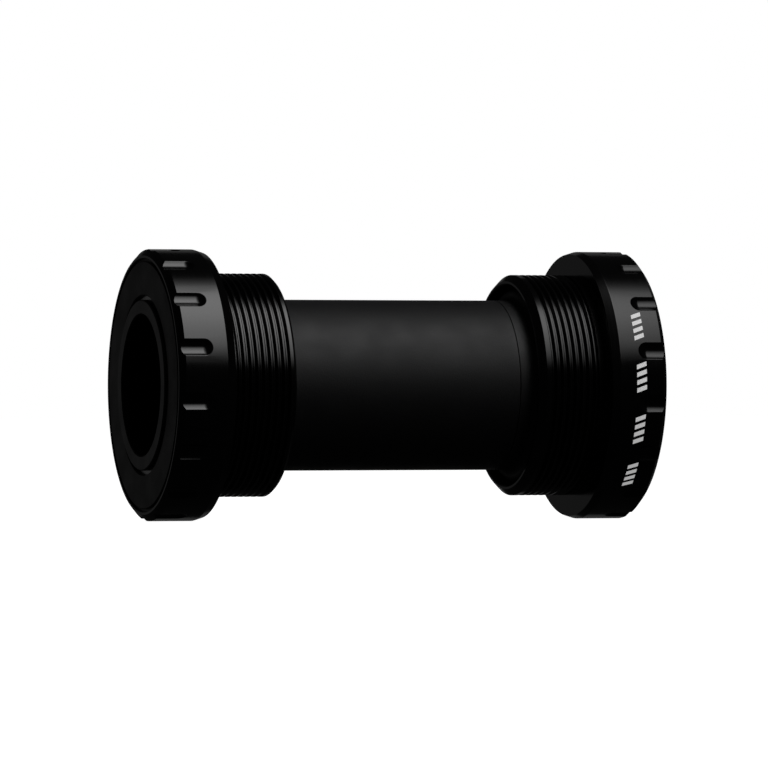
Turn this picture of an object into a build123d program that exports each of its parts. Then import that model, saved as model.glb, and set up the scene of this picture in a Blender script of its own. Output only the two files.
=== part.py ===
from build123d import *
from dataclasses import dataclass
import math
import os

# Threaded bottom bracket for a bicycle frame: two flanged bearing cups joined by a plastic sleeve.
# Millimetres. The spindle axis is Y: +Y is the rider's left, +X is forward and +Z is up.
# The origin is on the spindle axis, half way between the two cups.
# Each cup is drawn about its own Z axis, which points outward from the middle of the bike.
# A "station" is a distance from the middle plane along that outward axis.

# Cup outline
THREAD_R = 17.4            # 1.370 inch thread, 34.8 mm over the crests
THREAD_PITCH = 25.4 / 24   # 24 threads per inch
THREAD_DEPTH = 0.6
THREAD_CREST = 0.22        # flat left at each crest
THREAD_ROOT = 0.14         # flat at the bottom of each groove
COLLAR_WIDTH = 1.0         # plain collar behind the shoulder, as large as the thread
RELIEF_WIDTH = 0.5         # groove that the thread runs out into
BORE_R = 15.85             # inside of the threaded barrel
BORE_EDGE = 0.2            # edge break at the barrel's mouth
FACE = 39.55               # station of the cup's outer face
FLANGE_R = 21.1
SHOULDER_CHAMFER = (0.4, 1.3)    # radial, axial
FACE_CHAMFER = (1.0, 0.85)       # radial, axial
RIM_EDGE = 0.15            # rounding of the flange's rim and of its notches
MOUTH_EDGE = 0.1           # edge break inside the outer face

# Tool notches round the flange
NOTCH_COUNT = 16
NOTCH_CUTTER_R = 1.85
NOTCH_WIDTH = 2.75

# Bearing, 25 x 37 x 7
SEAT_R = 18.5
RACE_BORE_R = 12.5
BEARING_WIDTH = 7.0
BEARING_START = 31.95
PITCH_R = 15.5
BALL_R = 1.75
BALL_COUNT = 15
BALL_PLAY = 0.04           # radial room between ball and groove
INNER_RACE_TOP = 14.5
OUTER_RACE_BOTTOM = 16.5
RACE_EDGE = 0.25
CAGE_HALF_THICK = 0.5
CAGE_WIDTH = 5.0
CAGE_PLAY = 0.12
SEAL_THICK = 0.6
SEAL_INSET = 0.1
SEAL_LIP_GAP = 0.08

# Dust cover and spindle bush
COUNTERBORE_R = 19.65
COVER_R = 19.2
COVER_BORE_R = 13.95
COVER_STEP = 0.2
COVER_PLAY = 0.03
COVER_EDGE = 0.1
BUSH_FLANGE_R = 13.25
BUSH_FACE = 39.9
BUSH_EDGE = 0.15

# Sleeve between the cups, stations along the right cup's axis
SLEEVE_R = 13.35
SLEEVE_BORE_R = 12.4
BELL_R = 15.3
BELL_BORE_R = 14.0
SLEEVE_END = 28.6
RIGHT_FLARE = (19.6, 21.8)
LEFT_FLARE = (21.0, 24.6)
SEAM = 17.85
SEAM_DEPTH = 0.2           # V groove where the halves meet
SEAM_HALF_WIDTH = 0.08
SPIGOT_LENGTH = 2.2
SPIGOT_R = 12.95
O_RING_STATION = 27.4
O_RING_SECTION_R = 0.57
O_RING_GAP = 0.05
GROOVE_HALF_WIDTH = 0.7


@dataclass
class CupSizes:
    """What differs between the two cups; stations in millimetres, phase in degrees."""

    barrel_end: float      # inner end of the threaded barrel
    barrel_bevel: float    # lead-in on the barrel's end, radial and axial
    shoulder: float        # face that seats on the frame
    notch_end: float       # closed end of each tool notch
    notch_phase: float
    spindle_r: float


LEFT_SIZES = CupSizes(
    barrel_end=19.85,
    barrel_bevel=0.45,
    shoulder=30.65,
    notch_end=34.25,
    notch_phase=16.0,
    spindle_r=11.0,
)
RIGHT_SIZES = CupSizes(
    barrel_end=19.85,
    barrel_bevel=1.0,
    shoulder=30.45,
    notch_end=34.8,
    notch_phase=7.8,
    spindle_r=12.0,
)

BEARING_END = BEARING_START + BEARING_WIDTH
bearing_middle = BEARING_START + BEARING_WIDTH / 2
LEFT = Rot(X=-90)     # outward axis onto +Y
RIGHT = Rot(X=90)     # outward axis onto -Y


def turned(points):
    """Solid of revolution about Z from (radius, station) corners."""
    face = make_face(Polyline(*[(r, 0, z) for r, z in points], close=True))
    return revolve(face, Axis.Z)


def polar(radius, angle_deg):
    angle = math.radians(angle_deg)
    return radius * math.cos(angle), radius * math.sin(angle)


def thread_outline(thread_start, thread_stop):
    """Corners of the thread's V grooves, from the barrel's bevel to the relief."""
    half_root = THREAD_ROOT / 2
    half_mouth = (THREAD_PITCH - THREAD_CREST) / 2
    root_r = THREAD_R - THREAD_DEPTH
    count = int((thread_stop - thread_start) / THREAD_PITCH)
    corners = []
    for k in reversed(range(count)):
        middle = thread_stop - (k + 0.5) * THREAD_PITCH
        corners += [
            (THREAD_R, middle - half_mouth),
            (root_r, middle - half_root),
            (root_r, middle + half_root),
            (THREAD_R, middle + half_mouth),
        ]
    return corners


def notch(angle, closed_end):
    """Round-bottomed slot for the fitting tool, open at the cup's outer face."""
    rise = math.sqrt(NOTCH_CUTTER_R**2 - (NOTCH_WIDTH / 2) ** 2)
    station = closed_end + NOTCH_WIDTH / 2
    length = FACE + 1 - station
    shank = Pos(Z=station + length / 2) * Cylinder(NOTCH_CUTTER_R, length)
    nose = Pos(Z=station) * Sphere(NOTCH_CUTTER_R)
    return Rot(Z=angle) * Pos(X=FLANGE_R + rise) * (shank + nose)


def is_rim_edge(edge):
    """True for an edge on the flange's rim, or one that a notch leaves across its outer chamfer."""
    slack = 0.001
    points = [edge @ 0, edge @ 0.5, edge @ 1]
    least_r = min(math.hypot(p.X, p.Y) for p in points)
    reaches_chamfer = max(p.Z for p in points) > FACE - FACE_CHAMFER[1] - slack
    outside_chamfer_foot = least_r > FLANGE_R - FACE_CHAMFER[0] - slack
    in_outer_face = points[1].Z > FACE - slack
    on_rim = least_r > FLANGE_R - slack
    return on_rim or (reaches_chamfer and outside_chamfer_foot and not in_outer_face)


def cup(sizes):
    relief_r = THREAD_R - THREAD_DEPTH
    relief_stop = sizes.shoulder - COLLAR_WIDTH
    thread_stop = relief_stop - RELIEF_WIDTH
    thread_start = sizes.barrel_end + sizes.barrel_bevel
    body = turned([
        (BORE_R, sizes.barrel_end + BORE_EDGE),
        (BORE_R + BORE_EDGE, sizes.barrel_end),
        (THREAD_R - sizes.barrel_bevel, sizes.barrel_end),
        (THREAD_R, thread_start),
        *thread_outline(thread_start, thread_stop),
        (THREAD_R, thread_stop),
        (relief_r, thread_stop),
        (relief_r, relief_stop),
        (THREAD_R, relief_stop),
        (THREAD_R, sizes.shoulder),
        (FLANGE_R - SHOULDER_CHAMFER[0], sizes.shoulder),
        (FLANGE_R, sizes.shoulder + SHOULDER_CHAMFER[1]),
        (FLANGE_R, FACE - FACE_CHAMFER[1]),
        (FLANGE_R - FACE_CHAMFER[0], FACE),
        (COUNTERBORE_R + MOUTH_EDGE, FACE),
        (COUNTERBORE_R, FACE - MOUTH_EDGE),
        (COUNTERBORE_R, BEARING_END),
        (SEAT_R, BEARING_END),
        (SEAT_R, BEARING_START),
        (BORE_R, BEARING_START),
    ])
    for k in range(NOTCH_COUNT):
        body -= notch(sizes.notch_phase + k * 360 / NOTCH_COUNT, sizes.notch_end)
    return fillet([edge for edge in body.edges() if is_rim_edge(edge)], RIM_EDGE)


def dust_cover():
    """Stepped disc that closes the cup round the spindle bush."""
    base_r = COUNTERBORE_R - COVER_PLAY
    base_top = BEARING_END + COVER_STEP
    return turned([
        (COVER_BORE_R, BEARING_END),
        (base_r, BEARING_END),
        (base_r, base_top),
        (COVER_R, base_top),
        (COVER_R, FACE - COVER_EDGE),
        (COVER_R - COVER_EDGE, FACE),
        (COVER_BORE_R + COVER_EDGE, FACE),
        (COVER_BORE_R, FACE - COVER_EDGE),
    ])


def spindle_bush(spindle_r):
    """Top-hat bush that fits the bearing to the spindle."""
    return turned([
        (spindle_r, BEARING_START),
        (RACE_BORE_R, BEARING_START),
        (RACE_BORE_R, BEARING_END),
        (BUSH_FLANGE_R, BEARING_END),
        (BUSH_FLANGE_R, BUSH_FACE - BUSH_EDGE),
        (BUSH_FLANGE_R - BUSH_EDGE, BUSH_FACE),
        (spindle_r + BUSH_EDGE, BUSH_FACE),
        (spindle_r, BUSH_FACE - BUSH_EDGE),
    ])


def ball_track():
    """Ring-shaped groove that the balls run in, shared by both races."""
    track = Pos(X=PITCH_R, Z=bearing_middle) * Rot(X=90) * Circle(BALL_R + BALL_PLAY)
    return revolve(track, Axis.Z)


def race(bore_r, outer_r):
    """Bearing ring from bore_r to outer_r with its edges broken."""
    return turned([
        (bore_r, BEARING_START + RACE_EDGE),
        (bore_r + RACE_EDGE, BEARING_START),
        (outer_r - RACE_EDGE, BEARING_START),
        (outer_r, BEARING_START + RACE_EDGE),
        (outer_r, BEARING_END - RACE_EDGE),
        (outer_r - RACE_EDGE, BEARING_END),
        (bore_r + RACE_EDGE, BEARING_END),
        (bore_r, BEARING_END - RACE_EDGE),
    ]) - ball_track()


def ball_places():
    """Centre of each ball."""
    for k in range(BALL_COUNT):
        x, y = polar(PITCH_R, k * 360 / BALL_COUNT)
        yield Pos(x, y, bearing_middle)


def balls():
    return Compound([place * Sphere(BALL_R) for place in ball_places()])


def cage():
    half = CAGE_WIDTH / 2
    ring = turned([
        (PITCH_R - CAGE_HALF_THICK, bearing_middle - half),
        (PITCH_R + CAGE_HALF_THICK, bearing_middle - half),
        (PITCH_R + CAGE_HALF_THICK, bearing_middle + half),
        (PITCH_R - CAGE_HALF_THICK, bearing_middle + half),
    ])
    for k in range(BALL_COUNT):
        pocket = Cylinder(BALL_R + CAGE_PLAY, BALL_R * 2)
        ring -= Rot(Z=k * 360 / BALL_COUNT) * Pos(X=PITCH_R, Z=bearing_middle) * Rot(Y=90) * pocket
    return ring


def bearing_seal(low):
    """Rubber disc held in the outer race, with its lip just clear of the inner race."""
    lip_r = INNER_RACE_TOP + SEAL_LIP_GAP
    return turned([
        (lip_r, low),
        (OUTER_RACE_BOTTOM, low),
        (OUTER_RACE_BOTTOM, low + SEAL_THICK),
        (lip_r, low + SEAL_THICK),
    ])


def cup_assembly(sizes):
    """Every piece of one cup by name, drawn about the cup's own axis."""
    return {
        "cup": cup(sizes),
        "dust_cover": dust_cover(),
        "spindle_bush": spindle_bush(sizes.spindle_r),
        "bearing_outer_race": race(OUTER_RACE_BOTTOM, SEAT_R),
        "bearing_inner_race": race(RACE_BORE_R, INNER_RACE_TOP),
        "bearing_balls": balls(),
        "bearing_cage": cage(),
        "bearing_outer_seal": bearing_seal(BEARING_END - SEAL_INSET - SEAL_THICK),
        "bearing_inner_seal": bearing_seal(BEARING_START + SEAL_INSET),
    }


def flare(start, stop, low_r, high_r):
    """Two equal tangent arcs that widen the sleeve from low_r to high_r between two stations."""
    run = stop - start
    half_turn = math.atan2(high_r - low_r, abs(run))
    bend_r = abs(run) / (2 * math.sin(2 * half_turn))
    rise = bend_r * (1 - math.cos(half_turn))
    advance = math.copysign(bend_r * math.sin(half_turn), run)
    middle = ((low_r + high_r) / 2, 0, (start + stop) / 2)
    first = ThreePointArc((low_r, 0, start), (low_r + rise, 0, start + advance), middle)
    second = ThreePointArc(middle, (high_r - rise, 0, stop - advance), (high_r, 0, stop))
    return first + second


def sleeve_blank():
    """The whole sleeve before it is parted at the seam, with a groove for each O-ring."""
    outline = Curve() + [
        flare(-LEFT_FLARE[0], -LEFT_FLARE[1], SLEEVE_R, BELL_R),
        Line((SLEEVE_R, 0, -LEFT_FLARE[0]), (SLEEVE_R, 0, RIGHT_FLARE[0])),
        flare(RIGHT_FLARE[0], RIGHT_FLARE[1], SLEEVE_R, BELL_R),
        Polyline(
            (BELL_R, 0, RIGHT_FLARE[1]),
            (BELL_R, 0, SLEEVE_END),
            (BELL_BORE_R, 0, SLEEVE_END),
            (BELL_BORE_R, 0, RIGHT_FLARE[1]),
            (SLEEVE_BORE_R, 0, RIGHT_FLARE[0]),
            (SLEEVE_BORE_R, 0, -LEFT_FLARE[0]),
            (BELL_BORE_R, 0, -LEFT_FLARE[1]),
            (BELL_BORE_R, 0, -SLEEVE_END),
            (BELL_R, 0, -SLEEVE_END),
            (BELL_R, 0, -LEFT_FLARE[1]),
        ),
    ]
    blank = revolve(make_face(outline), Axis.Z)
    floor_r = BORE_R - O_RING_GAP - 2 * O_RING_SECTION_R
    for station in (-O_RING_STATION, O_RING_STATION):
        blank -= turned([
            (floor_r, station - GROOVE_HALF_WIDTH),
            (BELL_R + 1, station - GROOVE_HALF_WIDTH),
            (BELL_R + 1, station + GROOVE_HALF_WIDTH),
            (floor_r, station + GROOVE_HALF_WIDTH),
        ])
    return blank


def ring_space(inner_r, outer_r, low, high):
    return turned([(inner_r, low), (outer_r, low), (outer_r, high), (inner_r, high)])


def seam_groove():
    """V groove round the plain sleeve at the seam."""
    beyond_r = SLEEVE_R + SEAM_DEPTH
    return turned([
        (SLEEVE_R - SEAM_DEPTH, SEAM),
        (beyond_r, SEAM - 2 * SEAM_HALF_WIDTH),
        (beyond_r, SEAM + 2 * SEAM_HALF_WIDTH),
    ])


def sleeve_halves():
    """Long left half with a spigot, and short right half that it plugs into."""
    blank = sleeve_blank() - seam_groove()
    beyond = SLEEVE_END + 1
    clear_r = BELL_R + 1
    within_r = SLEEVE_BORE_R - 1
    spigot_end = SEAM + SPIGOT_LENGTH
    spigot = ring_space(SLEEVE_BORE_R, SPIGOT_R, SEAM - SPIGOT_LENGTH, spigot_end)
    spigot_room = ring_space(within_r, SPIGOT_R, SEAM, spigot_end)
    long_half = (blank - ring_space(within_r, clear_r, SEAM, beyond)) + spigot
    short_half = blank - ring_space(within_r, clear_r, -beyond, SEAM) - spigot_room
    return long_half, short_half


def o_ring(station):
    centre_r = BORE_R - O_RING_GAP - O_RING_SECTION_R
    return revolve(Pos(X=centre_r, Z=station) * Rot(X=90) * Circle(O_RING_SECTION_R), Axis.Z)


def build():
    """Every piece of the bottom bracket in place, by name."""
    pieces = {}
    left = cup_assembly(LEFT_SIZES)
    right = cup_assembly(RIGHT_SIZES)
    for name, solid in left.items():
        pieces["left_" + name] = LEFT * solid
    for name, solid in right.items():
        pieces["right_" + name] = RIGHT * solid
    long_half, short_half = sleeve_halves()
    pieces["sleeve_long_half"] = RIGHT * long_half
    pieces["sleeve_short_half"] = RIGHT * short_half
    pieces["left_o_ring"] = RIGHT * o_ring(-O_RING_STATION)
    pieces["right_o_ring"] = RIGHT * o_ring(O_RING_STATION)
    return pieces


os.makedirs("parts", exist_ok=True)
for piece_name, piece in build().items():
    export_step(piece, "parts/" + piece_name + ".step")
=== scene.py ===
import math

import bmesh
import bpy
from mathutils import Matrix, Vector


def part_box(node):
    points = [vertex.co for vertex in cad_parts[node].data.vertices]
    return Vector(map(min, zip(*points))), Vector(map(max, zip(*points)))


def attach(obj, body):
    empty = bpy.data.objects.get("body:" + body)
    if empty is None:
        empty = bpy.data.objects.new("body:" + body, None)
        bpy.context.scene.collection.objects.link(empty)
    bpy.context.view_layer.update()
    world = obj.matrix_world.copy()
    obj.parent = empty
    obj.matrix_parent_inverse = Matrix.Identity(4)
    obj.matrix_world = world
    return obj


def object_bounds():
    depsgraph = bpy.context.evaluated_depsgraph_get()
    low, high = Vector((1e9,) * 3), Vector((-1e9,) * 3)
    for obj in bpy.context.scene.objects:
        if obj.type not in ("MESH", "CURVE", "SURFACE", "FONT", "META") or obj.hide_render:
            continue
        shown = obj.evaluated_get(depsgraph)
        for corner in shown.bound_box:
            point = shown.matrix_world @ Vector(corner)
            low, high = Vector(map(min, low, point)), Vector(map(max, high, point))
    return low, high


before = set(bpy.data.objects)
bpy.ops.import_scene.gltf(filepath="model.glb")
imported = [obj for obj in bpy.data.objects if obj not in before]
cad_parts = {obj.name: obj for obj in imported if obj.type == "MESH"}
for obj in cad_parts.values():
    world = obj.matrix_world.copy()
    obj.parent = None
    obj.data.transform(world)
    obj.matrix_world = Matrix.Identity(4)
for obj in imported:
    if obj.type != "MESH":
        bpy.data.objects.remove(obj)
cad_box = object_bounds()

# Everything is in metres. The spindle axis is Y, +Y is the rider's left and +Z is up.
MM = 0.001
FLANGE_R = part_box("right_cup")[1].z

# Printed mark on the right flange: bars in groups, on the lands between its notches on the -X side
LANDS = (25.95, 3.45, -19.05, -41.55)   # middle of each land, degrees above the horizontal
BARS_PER_LAND = 4
BAR_PITCH = 3.3                         # degrees
BAR_HALF_WIDTH = math.radians(0.95)
BAR_LEAN = math.radians(1.6)            # turn about the spindle from one end of a bar to the other
BAR_START, BAR_STOP = 34.3 * MM, 35.9 * MM   # distance from the middle plane
BAR_DEPTH = 0.02 * MM                   # above and below the flange's surface
BAR_STEPS = 4

# Camera: level with the axis, on the -X side and turned toward the left cup's outer face
CAMERA_DISTANCE = 1.035
CAMERA_TURN = math.radians(18.1)
CAMERA_SCALE = 6376.0       # pixels per metre at the origin
IMAGE_SHIFT = (-1.4, 1.2)   # pixels
IMAGE_WIDTH = 768
SENSOR = 36.0

FLOOR_HALF_WIDTH = 3.0

# Key light's strength, by degrees above the -X horizon and by metres along the spindle
KEY_CLIMB = (
    (18, 0.0),
    (24, 0.16),
    (34, 0.55),
    (45, 0.74),
    (62, 1.0),
    (75, 1.0),
    (84, 0.85),
    (94, 0.16),
    (102, 0.0),
)
KEY_ACROSS = (
    (-0.42, 0.0),
    (-0.36, 0.3),
    (-0.22, 1.0),
    (-0.12, 1.0),
    (0.0, 0.1),
    (0.1, 0.0),
)


def material(name, slots=()):
    """New node material, its Principled shader, and the record's slots that take it."""
    mat = bpy.data.materials.new(name)
    mat.use_nodes = True
    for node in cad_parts:
        if node in slots:
            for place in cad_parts[node].material_slots:
                place.material = mat
    return mat, mat.node_tree.nodes["Principled BSDF"]


class Nodes:
    """Short way to add and join the shader nodes of one material."""

    def __init__(self, mat):
        self.tree = mat.node_tree

    def add(self, kind, **values):
        node = self.tree.nodes.new(kind)
        for key, value in values.items():
            if hasattr(node, key):
                setattr(node, key, value)
            else:
                node.inputs[key.replace("_", " ").capitalize()].default_value = value
        return node

    def join(self, out, socket):
        self.tree.links.new(out, socket)

    def calc(self, operation, first, second=None):
        node = self.tree.nodes.new("ShaderNodeMath")
        node.operation = operation
        for socket, value in zip(node.inputs, (first, second)):
            if value is None:
                continue
            if isinstance(value, (int, float)):
                socket.default_value = value
            else:
                self.join(value, socket)
        return node.outputs[0]

    def noise(self, vector, scale, detail=2.0, roughness=0.5):
        node = self.add("ShaderNodeTexNoise", Scale=scale, Detail=detail, Roughness=roughness)
        self.join(vector, node.inputs["Vector"])
        return node.outputs["Fac"]

    def spread(self, fac, low, high):
        """fac, from 0.3 to 0.7, carried to low and high."""
        node = self.add("ShaderNodeMapRange")
        node.inputs["From Min"].default_value = 0.3
        node.inputs["From Max"].default_value = 0.7
        node.inputs["To Min"].default_value = low
        node.inputs["To Max"].default_value = high
        self.join(fac, node.inputs["Value"])
        return node.outputs["Result"]

    def tint(self, fac, dark, light):
        node = self.add("ShaderNodeMix", data_type="RGBA")
        node.inputs["A"].default_value = (*dark, 1)
        node.inputs["B"].default_value = (*light, 1)
        self.join(fac, node.inputs["Factor"])
        return node.outputs["Result"]

    def bump(self, height, distance):
        node = self.add("ShaderNodeBump")
        node.inputs["Strength"].default_value = 1.0
        node.inputs["Distance"].default_value = distance
        self.join(height, node.inputs["Height"])
        return node.outputs["Normal"]

    def object_place(self):
        return self.add("ShaderNodeTexCoord").outputs["Object"]

    def lathe_place(self):
        """Distance from the spindle axis and place along it, the same all the way round."""
        parts = self.add("ShaderNodeSeparateXYZ")
        self.join(self.object_place(), parts.inputs[0])
        x, y, z = parts.outputs
        square = self.calc("ADD", self.calc("MULTIPLY", x, x), self.calc("MULTIPLY", z, z))
        lathe = self.add("ShaderNodeCombineXYZ")
        self.join(self.calc("SQRT", square), lathe.inputs[0])
        self.join(y, lathe.inputs[1])
        return lathe.outputs[0]


def cup_alloy():
    """Black anodised aluminium, with the fine rings that the lathe leaves."""
    mat, shader = material("black_anodised_alloy", ("left_cup", "right_cup"))
    dark, light = (0.0012, 0.0012, 0.0013), (0.0022, 0.0022, 0.0024)
    smooth, rough = 0.13, 0.19
    ring_height = 0.0008 * MM
    n = Nodes(mat)
    rings = n.noise(n.lathe_place(), scale=9000.0, detail=3.0, roughness=0.6)
    cloud = n.noise(n.object_place(), scale=160.0, detail=3.0)
    n.join(n.tint(cloud, dark, light), shader.inputs["Base Color"])
    n.join(n.spread(rings, smooth, rough), shader.inputs["Roughness"])
    n.join(n.bump(rings, ring_height), shader.inputs["Normal"])


def moulded(name, nodes, dark, light, roughness, grain_scale, grain_height):
    """Moulded black plastic with an eroded grain."""
    mat, shader = material(name, nodes)
    n = Nodes(mat)
    grain = n.noise(n.object_place(), scale=grain_scale, detail=3.0, roughness=0.65)
    cloud = n.noise(n.object_place(), scale=220.0, detail=3.0)
    n.join(n.tint(grain, dark, light), shader.inputs["Base Color"])
    n.join(n.spread(cloud, *roughness), shader.inputs["Roughness"])
    n.join(n.bump(grain, grain_height), shader.inputs["Normal"])


def both(name):
    return "left_" + name, "right_" + name


def bearing_materials():
    """Bare steel of the races and balls, with fine rings in its colour and its gloss."""
    for name, nodes, light, rough in (
        ("ground_steel", both("bearing_outer_race") + both("bearing_inner_race"), 0.5, (0.2, 0.32)),
        ("polished_steel", both("bearing_balls"), 0.6, (0.05, 0.1)),
    ):
        mat, shader = material(name, nodes)
        dark = light * 0.9
        n = Nodes(mat)
        rings = n.noise(n.lathe_place(), scale=12000.0, detail=3.0)
        n.join(n.tint(rings, (dark,) * 3, (light,) * 3), shader.inputs["Base Color"])
        n.join(n.spread(rings, *rough), shader.inputs["Roughness"])
        shader.inputs["Metallic"].default_value = 1.0


def bar(bm, middle):
    """Thin closed bar on the flange, centred at an angle above the horizontal."""
    layers = []
    for radius in (FLANGE_R - BAR_DEPTH, FLANGE_R + BAR_DEPTH):
        for side in (-1, 1):
            row = []
            for k in range(BAR_STEPS + 1):
                t = k / BAR_STEPS
                phi = middle + side * BAR_HALF_WIDTH + BAR_LEAN * (t - 0.5)
                along = -(BAR_START + (BAR_STOP - BAR_START) * t)
                row.append(bm.verts.new((-radius * math.cos(phi), along, radius * math.sin(phi))))
            layers.append(row)
    low_in, high_in, low_out, high_out = layers
    for first, second in ((low_out, high_out), (high_out, high_in), (high_in, low_in), (low_in, low_out)):
        for k in range(BAR_STEPS):
            bm.faces.new((first[k], first[k + 1], second[k + 1], second[k]))
    for k in (0, BAR_STEPS):
        bm.faces.new((low_in[k], high_in[k], high_out[k], low_out[k]))


def printed_mark():
    """White leaning bars, printed in groups on the lands between the right flange's notches; they also
    glow a little, which is painted light.
    """
    mesh = bpy.data.meshes.new("right_flange_mark")
    bm = bmesh.new()
    for land in LANDS:
        for k in range(BARS_PER_LAND):
            step = (BARS_PER_LAND - 1) / 2 - k
            bar(bm, math.radians(land + BAR_PITCH * step))
    bmesh.ops.recalc_face_normals(bm, faces=bm.faces)
    bm.to_mesh(mesh)
    bm.free()
    mark = bpy.data.objects.new("right_flange_mark", mesh)
    bpy.context.scene.collection.objects.link(mark)
    mat, shader = material("white_print_painted_glow")
    dark, light = (0.78, 0.78, 0.78), (0.9, 0.9, 0.9)
    n = Nodes(mat)
    speck = n.noise(n.object_place(), scale=5000.0, detail=3.0)
    n.join(n.tint(speck, dark, light), shader.inputs["Base Color"])
    shader.inputs["Roughness"].default_value = 0.5
    # Painted light: the print glows faintly so that every bar is evenly bright, standing in for fill
    # light that falls on it.
    shader.inputs["Emission Color"].default_value = (1, 1, 1, 1)
    shader.inputs["Emission Strength"].default_value = 0.35
    mesh.materials.append(mat)
    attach(mark, "right_cup_body")


def area_light(name, direction, distance, size, radiance):
    """Rectangular light facing the object. size is along the spindle, then across it."""
    data = bpy.data.lights.new(name, "AREA")
    data.shape = "RECTANGLE"
    data.size, data.size_y = size
    data.energy = radiance * math.pi * size[0] * size[1]
    lamp = bpy.data.objects.new(name, data)
    outward = Vector(direction).normalized()
    along = (Vector((0, 1, 0)) - outward * outward.y).normalized()
    facing = Matrix((along, outward.cross(along), outward)).transposed()
    lamp.matrix_world = Matrix.Translation(outward * distance) @ facing.to_4x4()
    lamp.visible_camera = False
    bpy.context.scene.collection.objects.link(lamp)
    return data


def ramp(tree, value, stops):
    """Piecewise linear function of value, from (position, result) stops."""
    low, high = stops[0][0], stops[-1][0]
    scale = tree.nodes.new("ShaderNodeMapRange")
    scale.inputs["From Min"].default_value = low
    scale.inputs["From Max"].default_value = high
    tree.links.new(value, scale.inputs["Value"])
    curve = tree.nodes.new("ShaderNodeValToRGB")
    elements = curve.color_ramp.elements
    while len(elements) < len(stops):
        elements.new(0.5)
    for element, (position, result) in zip(elements, stops):
        element.position = (position - low) / (high - low)
        element.color = (result, result, result, 1)
    tree.links.new(scale.outputs["Result"], curve.inputs["Fac"])
    return curve.outputs["Color"]


def key_light():
    """Tall softbox above the -X side, brightest toward the rider's right and faded out at its edges."""
    data = area_light(
        "overhead",
        direction=(-0.475, -0.25, 0.823),
        distance=0.8,
        size=(0.8, 1.4),
        radiance=3.5,
    )
    data.use_nodes = True
    tree = data.node_tree
    place = tree.nodes.new("ShaderNodeNewGeometry").outputs["Position"]
    parts = tree.nodes.new("ShaderNodeSeparateXYZ")
    tree.links.new(place, parts.inputs[0])
    x, y, z = parts.outputs
    minus_x = tree.nodes.new("ShaderNodeMath")
    minus_x.operation = "MULTIPLY"
    minus_x.inputs[1].default_value = -1.0
    tree.links.new(x, minus_x.inputs[0])
    rise = tree.nodes.new("ShaderNodeMath")
    rise.operation = "ARCTAN2"
    tree.links.new(z, rise.inputs[0])
    tree.links.new(minus_x.outputs[0], rise.inputs[1])
    climb = [(math.radians(degrees), strength) for degrees, strength in KEY_CLIMB]
    product = tree.nodes.new("ShaderNodeMath")
    product.operation = "MULTIPLY"
    tree.links.new(ramp(tree, rise.outputs[0], climb), product.inputs[0])
    tree.links.new(ramp(tree, y, KEY_ACROSS), product.inputs[1])
    tree.links.new(product.outputs[0], tree.nodes["Emission"].inputs["Strength"])


def studio():
    """Surroundings that are white to the camera and nearly dark to the object, with its lights."""
    world = bpy.data.worlds.new("studio")
    bpy.context.scene.world = world
    world.use_nodes = True
    tree = world.node_tree
    tree.nodes.clear()
    out = tree.nodes.new("ShaderNodeOutputWorld")
    mix = tree.nodes.new("ShaderNodeMixShader")
    dark = tree.nodes.new("ShaderNodeBackground")
    white = tree.nodes.new("ShaderNodeBackground")
    path = tree.nodes.new("ShaderNodeLightPath")
    dark.inputs["Strength"].default_value = 0.007
    dark.inputs["Color"].default_value = (1, 1, 1, 1)
    white.inputs["Color"].default_value = (1, 1, 1, 1)
    tree.links.new(path.outputs["Is Camera Ray"], mix.inputs[0])
    tree.links.new(dark.outputs[0], mix.inputs[1])
    tree.links.new(white.outputs[0], mix.inputs[2])
    tree.links.new(mix.outputs[0], out.inputs[0])

    floor_mesh = bpy.data.meshes.new("floor")
    bm = bmesh.new()
    bmesh.ops.create_grid(bm, x_segments=1, y_segments=1, size=FLOOR_HALF_WIDTH)
    bm.to_mesh(floor_mesh)
    bm.free()
    floor = bpy.data.objects.new("floor", floor_mesh)
    floor.location.z = cad_box[0].z
    bpy.context.scene.collection.objects.link(floor)
    mat, shader = material("pale_floor")
    shader.inputs["Base Color"].default_value = (0.8, 0.8, 0.8, 1)
    shader.inputs["Emission Color"].default_value = (1, 1, 1, 1)
    shader.inputs["Emission Strength"].default_value = 1.0
    floor_mesh.materials.append(mat)
    floor.visible_diffuse = False
    floor.visible_glossy = False

    key_light()
    area_light("backdrop_glow", direction=(1.0, 0.0, 0.0), distance=1.0, size=(2.4, 0.5), radiance=0.035)
    area_light("rear_fill", direction=(0.951, -0.311, 0.0), distance=1.2, size=(0.4, 1.2), radiance=0.06)


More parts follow.
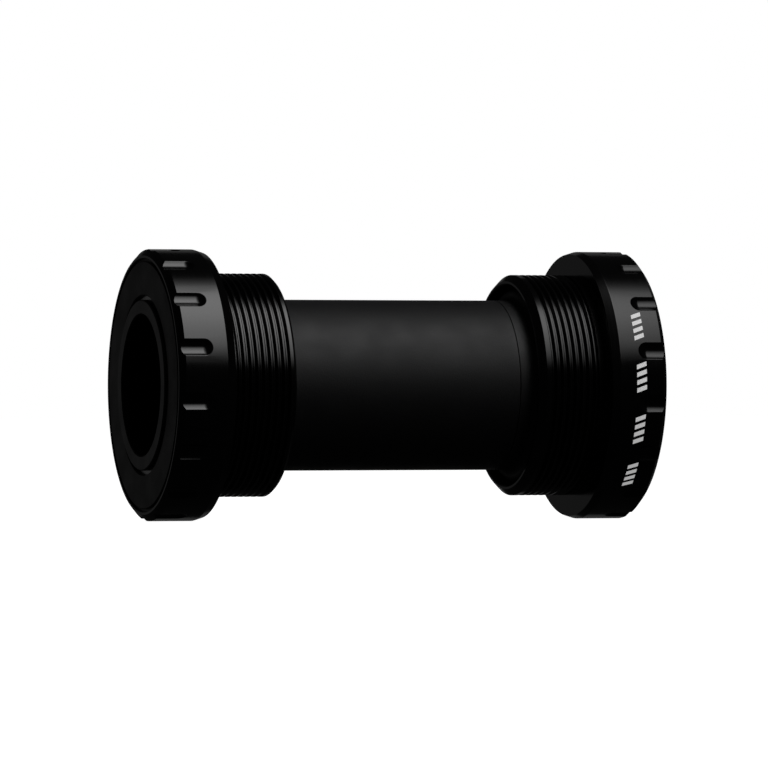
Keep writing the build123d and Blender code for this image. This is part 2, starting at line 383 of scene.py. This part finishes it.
def camera():
    data = bpy.data.cameras.new("camera")
    cam = bpy.data.objects.new("camera", data)
    bpy.context.scene.collection.objects.link(cam)
    bpy.context.scene.camera = cam
    back = Vector((-math.cos(CAMERA_TURN), math.sin(CAMERA_TURN), 0.0))
    cam.location = back * CAMERA_DISTANCE
    cam.rotation_mode = "QUATERNION"
    cam.rotation_quaternion = back.to_track_quat("Z", "Y")
    data.sensor_width = SENSOR
    data.lens = CAMERA_SCALE * CAMERA_DISTANCE * SENSOR / IMAGE_WIDTH
    data.shift_x = IMAGE_SHIFT[0] / IMAGE_WIDTH
    data.shift_y = IMAGE_SHIFT[1] / IMAGE_WIDTH
    data.clip_start, data.clip_end = 0.01, 20.0
    data.dof.use_dof = False


camera()
studio()
bpy.context.scene.view_settings.view_transform = "Standard"
cup_alloy()
moulded(
    "sleeve_plastic",
    ("sleeve_long_half", "sleeve_short_half"),
    dark=(0.007, 0.007, 0.0076),
    light=(0.012, 0.012, 0.013),
    roughness=(0.5, 0.58),
    grain_scale=4200.0,
    grain_height=0.028 * MM,
)
moulded(
    "cover_plastic",
    both("dust_cover"),
    dark=(0.002, 0.002, 0.002),
    light=(0.004, 0.004, 0.004),
    roughness=(0.4, 0.5),
    grain_scale=9000.0,
    grain_height=0.003 * MM,
)
moulded(
    "bush_plastic",
    both("spindle_bush"),
    dark=(0.004, 0.004, 0.004),
    light=(0.006, 0.006, 0.006),
    roughness=(0.3, 0.4),
    grain_scale=14000.0,
    grain_height=0.002 * MM,
)
moulded(
    "cage_plastic",
    both("bearing_cage"),
    dark=(0.2, 0.14, 0.08),
    light=(0.25, 0.18, 0.1),
    roughness=(0.5, 0.6),
    grain_scale=9000.0,
    grain_height=0.003 * MM,
)
moulded(
    "seal_rubber",
    both("bearing_outer_seal") + both("bearing_inner_seal") + both("o_ring"),
    dark=(0.008, 0.008, 0.008),
    light=(0.012, 0.012, 0.012),
    roughness=(0.55, 0.7),
    grain_scale=9000.0,
    grain_height=0.004 * MM,
)
bearing_materials()
printed_mark()
